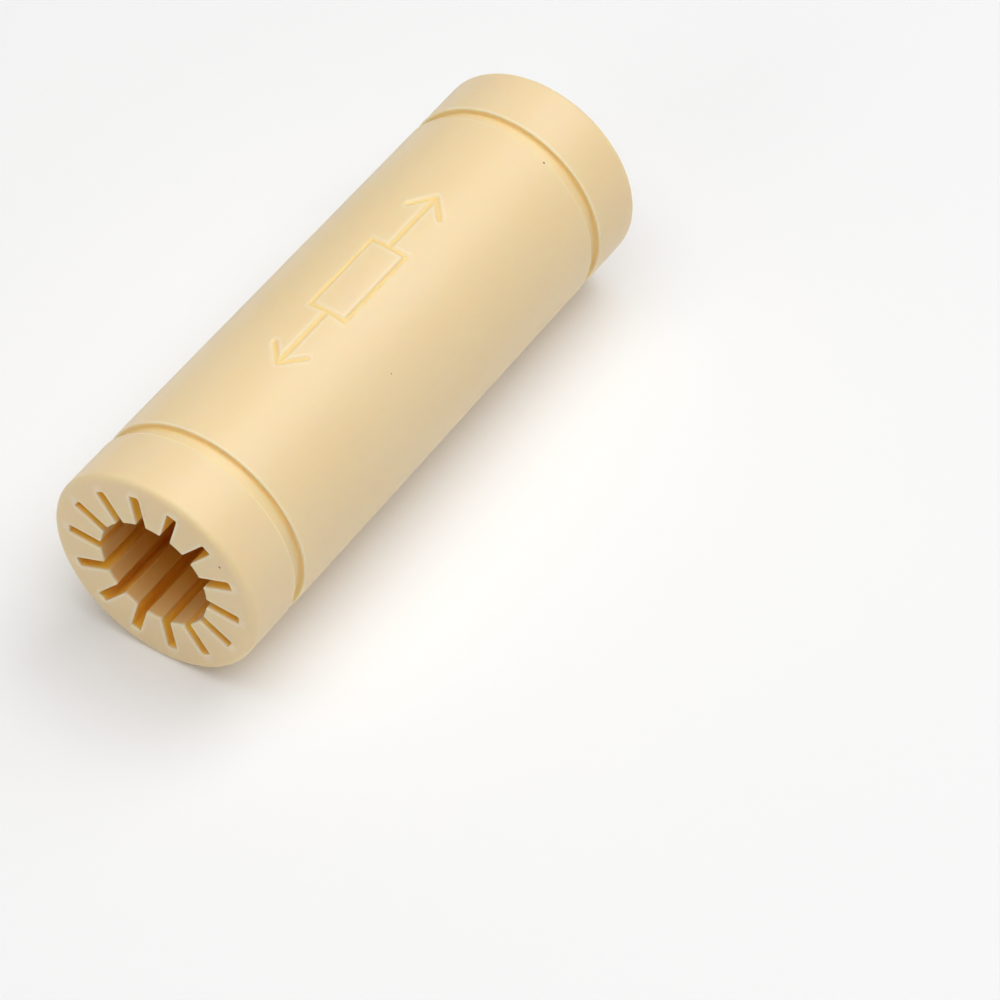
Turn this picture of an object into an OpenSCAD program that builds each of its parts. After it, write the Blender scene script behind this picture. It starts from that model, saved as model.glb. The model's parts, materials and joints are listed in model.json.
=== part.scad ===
// Solid polymer linear bushing, long pattern, for a 10 mm round shaft.
// One injection moulding: outside, a plain cylinder with a groove for a retaining ring near each end;
// inside, a bore whose wall is split into running lands by straight slots that let dirt and air pass.
// Units are millimetres. The bore axis is X, the origin is the centre of the bore at mid-length,
// and the part lies on its side with +Z up.

/* [Body] */
// Outside diameter, the seat in the housing
outer_d = 19; // [18.4:0.1:21]
// Overall length
length = 55; // [50:1:70]
// Rounding of the outer edge at each end
edge_r = 0.6; // [0.2:0.1:1.2]
// Turn of the part about its axis, which leans the mark from straight up towards -Y
lean = 3.6; // [0:0.1:12]

/* [Retaining-ring grooves] */
// Distance over the outer walls of the grooves
groove_span = 44; // [38:1:46]
// Width of one groove
groove_w = 1.3; // [0.8:0.1:2]
// Diameter at the bottom of a groove
groove_d = 18; // [17.4:0.1:18.2]

/* [Bore] */
// Shaft diameter, measured over the running lands
bore_d = 10; // [8:0.1:11]
// Number of slots, and so of running lands
slot_count = 14; // [6:2:16]
// Width of one slot
slot_w = 0.9; // [0.6:0.1:1.2]
// Diameter over the slot roots
slot_root_d = 16; // [13:0.1:16.4]
// Rounding of the corners at a slot root
slot_root_r = 0.2; // [0.1:0.05:0.25]

/* [Mark] */
// Length of the engraved mark, from one arrow's point to the other's
mark_length = 22.6; // [18:0.2:30]
// Length of the box that stands for the bushing
mark_box_l = 9; // [6:0.5:10]
// Height of that box across the part
mark_box_w = 3.8; // [2:0.2:5]
// Width of the engraved strokes
mark_stroke = 0.4; // [0.3:0.05:0.6]
// Depth of the engraved strokes
mark_depth = 0.15; // [0.05:0.05:0.3]

/* [Hidden] */
$fn = 96;

polymer = [0.93, 0.84, 0.65];
overrun = 1;                      // how far a cutting tool runs past the face that it leaves
slot_pitch = 360 / slot_count;
barb_length = 2.4;                // one side of an arrow head
barb_spread = 40;                 // angle between that side and the line behind it

// Half of the plain body's section, where x is the radius and y the place along the axis.
module body_section() {
    inner_r = outer_d / 2 - edge_r;
    straight = length - 2 * edge_r;
    translate([0, -length / 2]) square([inner_r, length]);
    translate([0, -straight / 2]) square([outer_d / 2, straight]);
    for (end = [-1, 1]) translate([inner_r, end * straight / 2]) circle(r = edge_r);
}

module ring_grooves() {
    for (end = [-1, 1])
        translate([0, 0, end * (groove_span - groove_w) / 2])
            difference() {
                cylinder(d = outer_d + 2 * overrun, h = groove_w, center = true);
                cylinder(d = groove_d, h = groove_w + 2 * overrun, center = true);
            }
}

// Section of one slot, which runs from inside the bore out along +X to a root with rounded corners.
module slot_section() {
    start = bore_d / 2 - overrun;
    root = slot_root_d / 2;
    flat = slot_w - 2 * slot_root_r;
    translate([start, -slot_w / 2]) square([root - slot_root_r - start, slot_w]);
    translate([start, -flat / 2]) square([root - start, flat]);
    for (side = [-1, 1]) translate([root - slot_root_r, side * flat / 2]) circle(r = slot_root_r);
}

// The bore and its slots, with a land and not a slot in line with the mark.
module slotted_bore() {
    cylinder(d = bore_d, h = length + 2 * overrun, center = true);
    for (i = [0 : slot_count - 1])
        rotate((i + 0.5) * slot_pitch)
            linear_extrude(height = length + 2 * overrun, center = true) slot_section();
}

module plain_bushing() {
    difference() {
        rotate_extrude() body_section();
        ring_grooves();
        slotted_bore();
    }
}

// A straight stroke of the mark, from the origin along +X.
module stroke(run) {
    translate([0, -mark_stroke / 2]) square([run, mark_stroke]);
}

// The mark: a bushing in side view on a shaft with an arrow at each end, for travel both ways.
module travel_mark() {
    tip = mark_length / 2;
    difference() {
        square([mark_box_l, mark_box_w], center = true);
        square([mark_box_l - 2 * mark_stroke, mark_box_w - 2 * mark_stroke], center = true);
    }
    for (side = [0, 180])
        rotate(side) {
            translate([mark_box_l / 2 - mark_stroke, 0]) stroke(tip - mark_box_l / 2);
            for (barb = [-1, 1])
                translate([tip, 0]) rotate(180 + barb * barb_spread) stroke(barb_length);
        }
}

// The mark sunk to an even depth in the round outside, on the +Z side.
module engraved_mark() {
    intersection() {
        linear_extrude(height = outer_d) travel_mark();
        rotate([0, 90, 0])
            difference() {
                cylinder(d = outer_d + 2 * overrun, h = length, center = true);
                cylinder(d = outer_d - 2 * mark_depth, h = length + overrun, center = true);
            }
    }
}

module bushing_body() {
    color(polymer)
        rotate([lean, 0, 0])
            difference() {
                rotate([0, 90, 0]) plain_bushing();
                engraved_mark();
            }
}

bushing_body();
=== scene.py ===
"""Looks of the slotted polymer linear bushing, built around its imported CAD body.

Metres, in the CAD frame: the bore lies along X, and +Z is up. An angle about the bore is counted from
+Z towards -Y. The visual mesh keeps the CAD body's sizes and adds what a moulding has at its edges:
small roundings at the lands, the slots, the grooves and the strokes of the engraved mark.
"""
import json
import math

import bmesh
import bpy
import numpy as np
from mathutils import Matrix, Vector


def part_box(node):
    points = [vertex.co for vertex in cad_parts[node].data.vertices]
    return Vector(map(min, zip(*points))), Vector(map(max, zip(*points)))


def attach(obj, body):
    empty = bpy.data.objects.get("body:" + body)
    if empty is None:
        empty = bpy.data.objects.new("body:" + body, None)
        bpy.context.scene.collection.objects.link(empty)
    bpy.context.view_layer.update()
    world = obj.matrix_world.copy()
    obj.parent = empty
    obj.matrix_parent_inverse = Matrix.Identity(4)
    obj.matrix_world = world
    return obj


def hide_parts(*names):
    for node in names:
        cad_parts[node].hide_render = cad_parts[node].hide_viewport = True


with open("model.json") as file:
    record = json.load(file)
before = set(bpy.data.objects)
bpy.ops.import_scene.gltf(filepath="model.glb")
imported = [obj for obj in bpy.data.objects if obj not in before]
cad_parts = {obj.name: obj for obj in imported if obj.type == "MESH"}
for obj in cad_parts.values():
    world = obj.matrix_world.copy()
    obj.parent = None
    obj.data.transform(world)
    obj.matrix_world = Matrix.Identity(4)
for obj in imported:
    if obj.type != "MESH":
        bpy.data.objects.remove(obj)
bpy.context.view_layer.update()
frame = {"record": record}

MM = 0.001
NODE = "bushing_body"
SLOT = "bearing_polymer"

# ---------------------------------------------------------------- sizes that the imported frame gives
low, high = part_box(NODE)
mounts = {m["name"]: m for m in frame["record"]["mounts"]}
half_length = high.x
outer_r = high.z
bore_r = mounts["shaft_bore"]["dims"]["r_mm"] * MM
edge_r = half_length - mounts["housing_seat"]["dims"]["length_mm"] * MM / 2
groove_r = mounts["ring_groove_b"]["dims"]["r_mm"] * MM
groove_w = mounts["ring_groove_b"]["dims"]["length_mm"] * MM
groove_x = mounts["ring_groove_b"]["pos_m"][0]

# ---------------------------------------------------------------- sizes that repeat the CAD source
SLOT_COUNT = 14
SLOT_W = 0.9 * MM
SLOT_ROOT_R = 8.0 * MM
ROOT_CORNER_R = 0.2 * MM
LEAN = math.radians(3.6)
PITCH = 2 * math.pi / SLOT_COUNT
MARK_LENGTH = 22.6 * MM
MARK_BOX = (9.0 * MM, 3.8 * MM)
MARK_STROKE = 0.4 * MM
MARK_DEPTH = 0.15 * MM
BARB_LENGTH = 2.4 * MM
BARB_SPREAD = math.radians(40)
patch_end = MARK_LENGTH / 2 + 0.7 * MM    # half the stretch of the outside that holds the mark

# ---------------------------------------------------------------- dark flecks moulded into the polymer
# Each one's x, its distance from the bore's axis, its angle in degrees, and its size as a radius.
FLECKS = [
    (20.45 * MM, 9.5 * MM, 31, 0.10 * MM),
    (-4.9 * MM, 9.5 * MM, 47, 0.06 * MM),
    (-half_length, 8.1 * MM, 53.9, 0.11 * MM),
    (24.1 * MM, 9.5 * MM, -28, 0.05 * MM),
    (9.0 * MM, 9.5 * MM, 160, 0.06 * MM),
    (-15.0 * MM, 9.5 * MM, -115, 0.05 * MM),
]

# ---------------------------------------------------------------- roundings that only the looks have
LAND_CORNER_R = 0.15 * MM      # between a land's running face and a slot's flank
MOUTH_R = 0.08 * MM            # between an end face and the bore or a slot
GROOVE_LIP_R = 0.18 * MM       # outer edges of a ring groove
GROOVE_FOOT_R = 0.14 * MM      # inner corners of a ring groove
STROKE_SOFT = 0.17 * MM        # half the width of an engraved stroke's sloping side

# ---------------------------------------------------------------- where the tints reach
MOUTH_FADE = 4 * MOUTH_R       # from an end face to where the bore's tints start to fade
MOST_RECESS = 0.8              # recess, which sets the painted shade, at a ring groove's foot, against 1 in the core of a stroke

# ---------------------------------------------------------------- how finely the mesh is cut
CORNER_STEPS = 5               # round each corner of a slot or land
FLANK_STEPS = 8                # along each flank of a slot, between its two corners
BORE_STEPS = 11                # from the middle of the bore to where its tints start to fade
MOUTH_STEPS = 3                # round the mouth
LAND_STRIPS = 8                # strips round the outside over each land
GROOVE_STEPS = 6               # round each lip and each corner of a ring groove
EDGE_STEPS = 14                # round the outside's end
BODY_STEPS = 6                 # from the stretch that holds the mark to a groove
COLLAR_STEPS = 5               # from a groove to the rounded end
COARSE_STATIONS = 6            # along each half of the stretch that holds the mark
FINE_CUTS = (12, 24)           # cuts of each of those cells that the mark needs, around and along
ROUND_OFF = 1e-8               # two sizes closer than this are the same


def turn(angle):
    """Unit vector across the bore at that angle from +Z towards -Y, as (y, z)."""
    return np.array((-math.sin(angle), math.cos(angle)))


def arc(centre, radius, start, end, steps):
    """Points along an arc, from angle start to angle end in radians."""
    for a in np.linspace(start, end, steps + 1):
        yield np.array(centre) + radius * np.array((math.cos(a), math.sin(a)))


# ---------------------------------------------------------------- section across the bore
def half_slot(inset):
    """From the middle of a slot's root round its corner, down the flank and round the land's corner.

    Works in the slot's own plane: the first coordinate runs outwards along the slot, and the second to
    the land beside it. inset moves every point into the material. Returns (root floor, the rest).
    """
    half_w = SLOT_W / 2
    floor_end = half_w - ROOT_CORNER_R
    floor = [np.array((SLOT_ROOT_R + inset, reach)) for reach in (0, floor_end / 2)]
    root = (SLOT_ROOT_R - ROOT_CORNER_R, floor_end)
    side = list(arc(root, ROOT_CORNER_R + inset, 0, math.pi / 2, CORNER_STEPS))
    off = half_w + LAND_CORNER_R
    along = math.sqrt((bore_r + LAND_CORNER_R) ** 2 - off ** 2)
    for reach in np.linspace(root[0], along, FLANK_STEPS + 1)[1:-1]:
        side.append(np.array((reach, half_w + inset)))
    last = -math.pi + math.atan2(off, along)
    side += arc((along, off), LAND_CORNER_R - inset, -math.pi / 2, last, CORNER_STEPS)
    return floor, side


def polar(point):
    """(radius, angle) of a point in a slot's own plane."""
    return math.hypot(point[0], point[1]), math.atan2(point[1], point[0])


def land_rows(k, inset):
    """Rows of (radius, angle) over land k, from the slot roots in to the bore, each at one radius."""
    centre = LEAN + k * PITCH
    rows = []
    for point in half_slot(inset)[1]:
        radius, a = polar(point)
        reach = PITCH / 2 - a
        angles = np.linspace(centre - reach, centre + reach, LAND_STRIPS + 1)
        rows.append([(radius, angle) for angle in angles])
    return rows


def root_floor(k, inset):
    """The floor of the slot after land k, without the two corners it shares with the lands."""
    centre = LEAN + (k + 0.5) * PITCH
    outwards = [polar(p) for p in half_slot(inset)[0]]
    before = [(radius, centre - a) for radius, a in reversed(outwards)]
    after = [(radius, centre + a) for radius, a in outwards[1:]]
    return before + after


# ---------------------------------------------------------------- profile along the outside
def groove_profile(side):
    """Half of a ring groove, from the outside down to its floor: (distance from its middle, radius)."""
    wall = groove_w / 2
    lip_centre = (wall + GROOVE_LIP_R, outer_r - GROOVE_LIP_R)
    foot_centre = (wall - GROOVE_FOOT_R, groove_r + GROOVE_FOOT_R)
    lip = arc(lip_centre, GROOVE_LIP_R, math.pi / 2, math.pi, GROOVE_STEPS)
    foot = arc(foot_centre, GROOVE_FOOT_R, 0, -math.pi / 2, GROOVE_STEPS)
    return [(side * x, radius) for x, radius in (*lip, *foot)]


def outer_profile():
    """(x, radius) along the outside, from one end face to the other."""
    lip_end = groove_w / 2 + GROOVE_LIP_R
    start = groove_x + lip_end
    stop = half_length - edge_r
    half = [(x, outer_r) for x in np.linspace(0, patch_end, COARSE_STATIONS + 1)]
    half += [(x, outer_r) for x in np.linspace(patch_end, groove_x - lip_end, BODY_STEPS + 1)[1:-1]]
    half += [(groove_x + x, radius) for x, radius in groove_profile(-1)]
    half += [(groove_x, groove_r)]
    half += [(groove_x + x, radius) for x, radius in reversed(groove_profile(1))]
    half += [(x, outer_r) for x in np.linspace(start, stop, COLLAR_STEPS + 1)[1:-1]]
    half += list(arc((stop, outer_r - edge_r), edge_r, math.pi / 2, 0, EDGE_STEPS))
    return [(-x, r) for x, r in reversed(half[1:])] + half


def groove_marks(x, radius):
    """How much of a lip, and how much of a recess, a place on the outside is.

    The lip is the top of a groove's rounded edge. The recess grows down the wall, and fades out again
    towards the middle of the floor.
    """
    from_middle = abs(abs(x) - groove_x)
    if from_middle > groove_w / 2 + GROOVE_LIP_R:
        return 0.0, 0.0
    depth = (outer_r - radius) / (outer_r - groove_r)
    # A lip gets a painted highlight.
    lip = 1.0 if 0.01 < depth < 0.3 else 0.0
    # The recess gets painted shade.
    down_wall = min(1.0, max(0.0, 1.6 * depth - 0.5))
    into_floor = max(0.0, 1 - from_middle / (groove_w / 2 - GROOVE_FOOT_R))
    return lip, MOST_RECESS * down_wall * (1 - into_floor) ** 2


# ---------------------------------------------------------------- engraved mark
def mark_strokes():
    """Centre lines of the strokes: a box for the bushing, a line for the shaft, an arrow each way."""
    box_x = MARK_BOX[0] / 2 - MARK_STROKE / 2
    box_y = MARK_BOX[1] / 2 - MARK_STROKE / 2
    tip = MARK_LENGTH / 2 - MARK_STROKE / 2
    lines = []
    for side in (-1, 1):
        lines.append(((side * box_x, -box_y), (side * box_x, box_y)))
        lines.append(((-box_x, side * box_y), (box_x, side * box_y)))
        lines.append(((side * box_x, 0), (side * tip, 0)))
        for barb in (-1, 1):
            end_x = side * (tip - BARB_LENGTH * math.cos(BARB_SPREAD))
            end_y = barb * BARB_LENGTH * math.sin(BARB_SPREAD)
            lines.append(((side * tip, 0), (end_x, end_y)))
    return lines


def distance_to_mark(x, y):
    """Distance from each point to the nearest stroke's edge, negative inside it."""
    nearest = np.full(x.shape, half_length)
    for (x0, y0), (x1, y1) in mark_strokes():
        dx, dy = x1 - x0, y1 - y0
        t = np.clip(((x - x0) * dx + (y - y0) * dy) / (dx * dx + dy * dy), 0, 1)
        nearest = np.minimum(nearest, np.hypot(x - x0 - t * dx, y - y0 - t * dy))
    return nearest - MARK_STROKE / 2


def engraving(x, angles):
    """The mark at places on the outside: its depth, how much of a shoulder, which is painted paler as a
    highlight, and how much of a core, which is painted as shade.
    """
    away = distance_to_mark(np.full(angles.shape, x), outer_r * np.sin(angles - LEAN))
    sunk = np.clip(0.5 - away / (2 * STROKE_SOFT), 0, 1)
    shoulder = np.exp(-((away - STROKE_SOFT) / STROKE_SOFT) ** 2)
    core = np.clip(1.4 * sunk - 0.4, 0, 1)
    return MARK_DEPTH * sunk * sunk * (3 - 2 * sunk), shoulder, core


# ---------------------------------------------------------------- the mesh
class Shell:
    """Collects vertices and faces, with three numbers for each vertex that the material reads.

    lip says how much of a rounded edge it is, where the material paints a highlight; recess how deep in
    a groove or stroke, where it paints shade; and bore how much of the inside, where it paints shade
    and glow: a half on the running faces of the lands and all in the slots.
    """

    def __init__(self):
        self.places, self.faces = [], []
        self.tags = {"lip": [], "recess": [], "bore": []}
        self.between = {}

    def add(self, x, radius, angle, lip=0.0, recess=0.0, bore=0.0):
        y, z = turn(angle) * radius
        self.places.append((x, y, z))
        for name, value in (("lip", lip), ("recess", recess), ("bore", bore)):
            self.tags[name].append(value)
        return len(self.places) - 1

    def split(self, path):
        """Says that the straight side from path's first vertex to its last goes through the rest."""
        self.between[path[0], path[-1]] = path[1:-1]
        self.between[path[-1], path[0]] = path[-2:0:-1]

    def skin(self, rows, closed, skip=lambda row, column: False):
        """Faces between each row of vertices and the next."""
        for r, (a, b) in enumerate(zip(rows, rows[1:])):
            count = len(a)
            for i in range(count if closed else count - 1):
                if skip(r, i):
                    continue
                j = (i + 1) % count
                corners = (a[i], a[j], b[j], b[i])
                face = []
                for here, there in zip(corners, corners[1:] + corners[:1]):
                    face += [here, *self.between.get((here, there), ())]
                self.faces.append(face)


def bore_section(shell, x, inset, lip, bore):
    """One section of the bore and slots.

    Returns its vertices as a loop, each land's (left side, running face, right side), and each slot's
    floor.
    """
    loop, lands, floors = [], [], []
    for k in range(SLOT_COUNT):
        rows = land_rows(k, inset)
        tints = [bore] * (len(rows) - CORNER_STEPS - 1) + [bore / 2] * (CORNER_STEPS + 1)
        left = [shell.add(x, *row[0], lip, bore=tint) for row, tint in zip(rows, tints)]
        running = [shell.add(x, *place, lip, bore=bore / 2) for place in rows[-1][1:-1]]
        right = [shell.add(x, *row[-1], lip, bore=tint) for row, tint in zip(rows, tints)]
        floor = [shell.add(x, *place, lip, bore=bore) for place in root_floor(k, inset)]
        loop += left + running + right[::-1] + floor
        lands.append((left, running, right))
        floors.append(floor)
    return loop, lands, floors


def end_face(shell, x, lands, floors, rim):
    """Fills an end face between the slotted bore and the start of the edge rounding."""
    top = []
    for k, (left, running, right) in enumerate(lands):
        rows = land_rows(k, MOUTH_R)
        inner = [[shell.add(x, *place) for place in row[1:-1]] for row in rows[:-1]]
        grid = [[a, *middle, b] for a, middle, b in zip(left, inner + [running], right)]
        shell.skin(grid, closed=False)
        top += grid[0] + floors[k]
    shell.skin([top, rim], closed=True)


def column_angles():
    """The angle of every strip of the outside, which line up with the points round the end faces."""
    angles = []
    for k in range(SLOT_COUNT):
        angles += [a for _, a in land_rows(k, MOUTH_R)[0]]
        angles += [a for _, a in root_floor(k, MOUTH_R)]
    return angles


def cut_finer(values, cuts):
    """The same values with each step between two of them cut into that many equal ones."""
    steps = len(values) - 1
    return np.interp(np.arange(cuts * steps + 1) / cuts, range(len(values)), values)


def mark_patch(shell, rows, stations, angles):
    """The stretch of the outside over the first land, cut finely enough to hold the mark.

    rows are the coarse vertices on it, and its border runs through them.
    """
    around, along = FINE_CUTS
    fine_angles = cut_finer(angles, around)
    fine_stations = cut_finer(stations, along)
    grid = []
    for i, x in enumerate(fine_stations):
        depths, shoulders, cores = engraving(x, fine_angles)
        row = []
        for j, place in enumerate(zip(fine_angles, depths, shoulders, cores)):
            angle, depth, shoulder, core = place
            on_border = i in (0, len(fine_stations) - 1) or j in (0, len(fine_angles) - 1)
            if on_border and i % along == 0 and j % around == 0:
                row.append(rows[i // along][j // around])
            else:
                # The shoulder weighs a painted highlight, and the core painted shade.
                row.append(shell.add(x, outer_r - depth, angle, shoulder / 2, core))
        grid.append(row)
    for side in ([row[0] for row in grid], [row[-1] for row in grid]):
        for i in range(0, len(side) - 1, along):
            shell.split(side[i:i + along + 1])
    for side in (grid[0], grid[-1]):
        for j in range(0, len(side) - 1, around):
            shell.split(side[j:j + around + 1])
    shell.skin(grid, closed=False)


def even_normals(shell, mesh):
    """One smooth normal for each vertex.

    Large flat faces count most, and the plain outside is truly round.
    """
    places = np.array(shell.places)
    area_normals = np.zeros_like(places)
    for polygon in mesh.polygons:
        area_normals[list(polygon.vertices)] += np.array(polygon.normal) * polygon.area
    radius = np.hypot(places[:, 1], places[:, 2])
    on_outside = np.abs(radius - outer_r) < ROUND_OFF
    plain = on_outside & (np.abs(places[:, 0]) < half_length - edge_r)
    area_normals[plain] = places[plain] * (0, 1, 1)
    normals = area_normals / np.linalg.norm(area_normals, axis=1)[:, None]
    mesh.normals_split_custom_set_from_vertices(normals.tolist())


def build_bushing():
    shell = Shell()
    # The bore and slots, with a rounded mouth at each end: each station's x, inset, lip and bore.
    inside = [(x, 0.0, 0.0, 1.0) for x in np.linspace(0, half_length - MOUTH_FADE, BORE_STEPS + 1)]
    for t in np.linspace(0, math.pi / 2, MOUTH_STEPS + 1):
        x = half_length - MOUTH_R * (1 - math.sin(t))
        inside.append((x, MOUTH_R * (1 - math.cos(t)), 1.0, 0.0))
    inside = [(-station[0], *station[1:]) for station in reversed(inside[1:])] + inside
    sections = [bore_section(shell, *station) for station in inside]
    shell.skin([loop for loop, _, _ in sections], closed=True)
    # The outside. Its cells under the mark are left to a finer patch.
    angles = column_angles()
    profile = outer_profile()
    outside = []
    for x, radius in profile:
        marks = groove_marks(x, radius)
        outside.append([shell.add(x, radius, a, *marks) for a in angles])
    middle = len(profile) // 2
    first, last = middle - COARSE_STATIONS, middle + COARSE_STATIONS
    mark_patch(shell, [row[:LAND_STRIPS + 1] for row in outside[first:last + 1]],
               [x for x, _ in profile[first:last + 1]], angles[:LAND_STRIPS + 1])
    shell.skin(outside, closed=True,
               skip=lambda row, column: first <= row < last and column < LAND_STRIPS)
    # The end faces.
    for end, x in ((0, -half_length), (-1, half_length)):
        _, lands, floors = sections[end]
        end_face(shell, x, lands, floors, outside[end])
    return shell


def make_piece(shell, name, material):
    """The shell as an object, with its normals and the numbers that its material reads."""
    mesh = bpy.data.meshes.new(name)
    mesh.from_pydata(shell.places, [], shell.faces)
    body = bmesh.new()
    body.from_mesh(mesh)
    bmesh.ops.recalc_face_normals(body, faces=body.faces)
    for face in body.faces:
        face.smooth = True
    body.to_mesh(mesh)
    body.free()
    for tag, values in shell.tags.items():
        mesh.attributes.new(tag, "FLOAT", "POINT").data.foreach_set("value", values)
    even_normals(shell, mesh)
    mesh.materials.append(material)
    piece = bpy.data.objects.new(name, mesh)
    bpy.context.scene.collection.objects.link(piece)
    return piece


# ---------------------------------------------------------------- materials
class Nodes:
    """A short way to build a node tree."""

    def __init__(self, name):
        self.material = bpy.data.materials.new(name)
        self.material.use_nodes = True
        self.tree = self.material.node_tree
        self.shader = self.tree.nodes["Principled BSDF"]

    def fill(self, socket, value):
        if isinstance(value, bpy.types.NodeSocket):
            self.tree.links.new(value, socket)
        else:
            socket.default_value = value

    def add(self, kind, values=(), **settings):
        node = self.tree.nodes.new(kind)
        for key, value in settings.items():
            setattr(node, key, value)
        for key, value in dict(values).items():
            self.fill(node.inputs[key], value)
        return node

    def link(self, socket, name):
        self.tree.links.new(socket, self.shader.inputs[name])

    def maths(self, operation, *values):
        return self.add("ShaderNodeMath", enumerate(values), operation=operation).outputs[0]

    def tag(self, name):
        """One of the numbers that the mesh carries: lip, recess or bore."""
        return self.add("ShaderNodeAttribute", attribute_name=name).outputs["Fac"]

    def noise(self, where, scale, detail=3.0, stretch=(1, 1, 1)):
        """Noise from 0 to 1, with about scale bumps to the metre."""
        where = self.add("ShaderNodeMapping", {"Vector": where, "Scale": stretch}).outputs[0]
        values = {"Vector": where, "Scale": scale, "Detail": detail}
        return self.add("ShaderNodeTexNoise", values).outputs["Fac"]

    def spread(self, value, start, stop):
        """How far value has come from start to stop, from 0 to 1."""
        values = {"Value": value, "From Min": start, "From Max": stop}
        return self.add("ShaderNodeMapRange", values, clamp=True).outputs["Result"]

    def blend(self, amount, a, b):
        """Colour a where amount is 0 and b where it is 1."""
        node = self.add("ShaderNodeMix", {"Factor": amount}, data_type="RGBA")
        for key, value in (("A", a), ("B", b)):
            socket = [s for s in node.inputs if s.name == key and s.type == "RGBA"][0]
            self.fill(socket, value if isinstance(value, bpy.types.NodeSocket) else (*value, 1))
        return [s for s in node.outputs if s.type == "RGBA"][0]


# Smoother patches than this come out as hard-edged smudges in a filtered render.
ROUGHNESS_LEAST = 0.28
ROUGHNESS_RANGE = 0.14


def polymer_colour(n, place):
    """Cream, yellower in flow patches, with a painted highlight on lips and painted shade in recesses.

    The lands take on painted shade, and the slots painted shade with a warm painted glow. Both grow
    with depth from the nearer end face, where light comes in only by many bounces.
    """
    cream = (0.87, 0.69, 0.42)
    yellower = (0.865, 0.675, 0.385)
    # Painted highlight colour for lips and shoulders; after it come the painted shade colours.
    pale = (0.96, 0.86, 0.68)
    recess_shade = (0.93, 0.69, 0.26)
    land_shade = (0.76, 0.39, 0.055)
    slot_shade = (0.96, 0.66, 0.11)
    deep_slot_shade = (0.99, 0.71, 0.09)
    fleck = (0.16, 0.09, 0.04)
    most_recess_shade = 0.93
    most_lip_highlight = 0.5
    patches = n.noise(place, scale=110, detail=2, stretch=(0.5, 1, 1))
    colour = n.blend(n.spread(patches, 0.3, 0.7), cream, yellower)
    along = n.maths("ABSOLUTE", n.add("ShaderNodeSeparateXYZ", {"Vector": place}).outputs["X"])
    depth = n.maths("SUBTRACT", half_length, along)
    # Painted shade on the lands and in the slots, growing with depth into the bore.
    land = n.blend(n.spread(depth, -4 * MM, 5 * MM), colour, land_shade)
    slot = n.blend(n.spread(depth, 2 * MM, 9 * MM), slot_shade, deep_slot_shade)
    slot = n.blend(n.spread(depth, 0, 0.3 * MM), colour, slot)
    inside = n.blend(n.spread(n.tag("bore"), 0.5, 1.0), land, slot)
    colour = n.blend(n.spread(n.tag("bore"), 0, 0.5), colour, inside)
    # Painted shade: darker and more saturated down groove walls and in the cores of the strokes.
    colour = n.blend(n.maths("MULTIPLY", n.tag("recess"), most_recess_shade), colour, recess_shade)
    # Painted highlight: paler on the lips of rounded edges and on the shoulders of the strokes.
    colour = n.blend(n.maths("MULTIPLY", n.tag("lip"), most_lip_highlight), colour, pale)
    for x, radius, angle, size in FLECKS:
        centre = (x, *(turn(math.radians(angle)) * radius))
        offset = n.add("ShaderNodeVectorMath", {0: place, 1: centre}, operation="DISTANCE")
        away = offset.outputs["Value"]
        colour = n.blend(n.spread(away, 1.2 * size, 0.5 * size), colour, fleck)
    return colour


def bearing_polymer():
    """Cream bearing polymer with a mould's soft gloss, a little uneven, and slightly translucent."""
    n = Nodes(SLOT)
    place = n.add("ShaderNodeTexCoord").outputs["Object"]
    n.link(polymer_colour(n, place), "Base Color")
    flow = n.noise(place, scale=420, stretch=(0.35, 1, 1))
    grain = n.noise(place, scale=2600)
    n.link(n.maths("MULTIPLY_ADD", flow, ROUGHNESS_RANGE, ROUGHNESS_LEAST), "Roughness")
    waves = n.add("ShaderNodeBump", {"Height": flow, "Strength": 0.4, "Distance": 0.03 * MM})
    fine = {"Height": grain, "Strength": 0.5, "Distance": 0.012 * MM, "Normal": waves.outputs["Normal"]}
    n.link(n.add("ShaderNodeBump", fine).outputs["Normal"], "Normal")
    n.shader.inputs["Subsurface Weight"].default_value = 0.5
    n.shader.inputs["Subsurface Radius"].default_value = (0.8, 0.5, 0.2)
    n.shader.inputs["Subsurface Scale"].default_value = 2.0 * MM
    n.shader.inputs["IOR"].default_value = 1.42
    return n.material


def floor_material():
    """Pale grey, and lit a little from below like a light table, which keeps the part's shadow soft."""
    n = Nodes("studio_floor")
    place = n.add("ShaderNodeTexCoord").outputs["Object"]
    clouds = n.noise(place, scale=8, detail=2)
    n.link(n.blend(clouds, (0.82, 0.82, 0.82), (0.84, 0.84, 0.84)), "Base Color")
    n.shader.inputs["Roughness"].default_value = 0.9
    n.shader.inputs["Specular IOR Level"].default_value = 0.1
    n.shader.inputs["Emission Color"].default_value = (1, 1, 1, 1)
    n.shader.inputs["Emission Strength"].default_value = 0.08
    return n.material


# ---------------------------------------------------------------- studio
def add_floor():
    reach = 4.0
    mesh = bpy.data.meshes.new("floor")
    corners = [(-reach, -reach), (reach, -reach), (reach, reach), (-reach, reach)]
    mesh.from_pydata([(x, y, low.z) for x, y in corners], [], [(0, 1, 2, 3)])
    mesh.materials.append(floor_material())
    floor = bpy.data.objects.new("floor", mesh)
    bpy.context.scene.collection.objects.link(floor)


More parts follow.
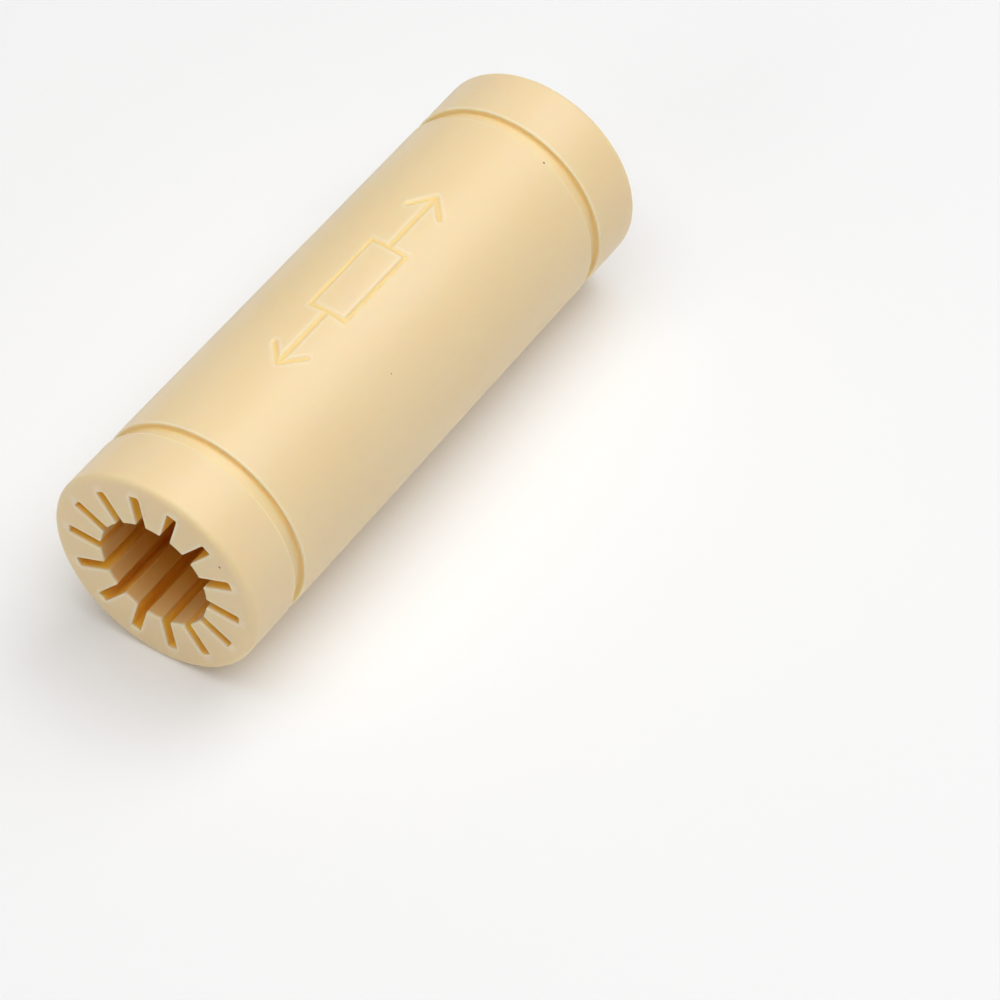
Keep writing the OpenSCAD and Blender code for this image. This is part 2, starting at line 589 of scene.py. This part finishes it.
def add_softbox(name, place, size, power):
    """A square softbox that faces the middle of the bushing."""
    light = bpy.data.lights.new(name, "AREA")
    light.shape = "SQUARE"
    light.size = size
    light.energy = power
    lamp = bpy.data.objects.new(name, light)
    lamp.location = place
    lamp.rotation_mode = "QUATERNION"
    lamp.rotation_quaternion = (-Vector(place)).to_track_quat("-Z", "Y")
    bpy.context.scene.collection.objects.link(lamp)


def add_world(strength):
    world = bpy.data.worlds.new("studio")
    world.use_nodes = True
    world.node_tree.nodes["Background"].inputs["Color"].default_value = (1, 1, 1, 1)
    world.node_tree.nodes["Background"].inputs["Strength"].default_value = strength
    bpy.context.scene.world = world


def add_camera():
    """Long lens from above the near end, with the bushing in the upper left of the picture."""
    azimuth = math.radians(-57.1)
    elevation = math.radians(47.2)
    distance = 0.3348
    right_of_centre = 0.01164
    below_centre = 0.01123
    level = math.cos(elevation)
    forward = Vector((-math.sin(azimuth) * level, math.cos(azimuth) * level, -math.sin(elevation)))
    right = Vector((math.cos(azimuth), math.sin(azimuth), 0))
    up = right.cross(forward)
    data = bpy.data.cameras.new("camera")
    data.sensor_width = 36
    data.lens = 150
    data.clip_start = 0.01
    camera = bpy.data.objects.new("camera", data)
    place = right * right_of_centre - up * below_centre - forward * distance
    facing = Matrix((right, up, -forward)).transposed().to_4x4()
    camera.matrix_world = Matrix.Translation(place) @ facing
    bpy.context.scene.collection.objects.link(camera)
    bpy.context.scene.camera = camera


def studio():
    """A pale floor, a dim white world, three softboxes and the camera."""
    add_floor()
    add_world(strength=0.07)
    add_softbox("overhead", place=(-0.03, -0.085, 0.59), size=0.8, power=4.3)
    add_softbox("far_end", place=(0.342, -0.113, 0.48), size=0.4, power=0.85)
    add_softbox("near_end", place=(-0.55, 0.10, 0.20), size=0.3, power=0.35)
    add_camera()
    scene = bpy.context.scene
    scene.view_settings.view_transform = "Standard"
    scene.cycles.diffuse_bounces = 10
    scene.cycles.max_bounces = 16


bushing = make_piece(build_bushing(), "bushing", bearing_polymer())
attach(bushing, "root")
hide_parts(NODE)
studio()
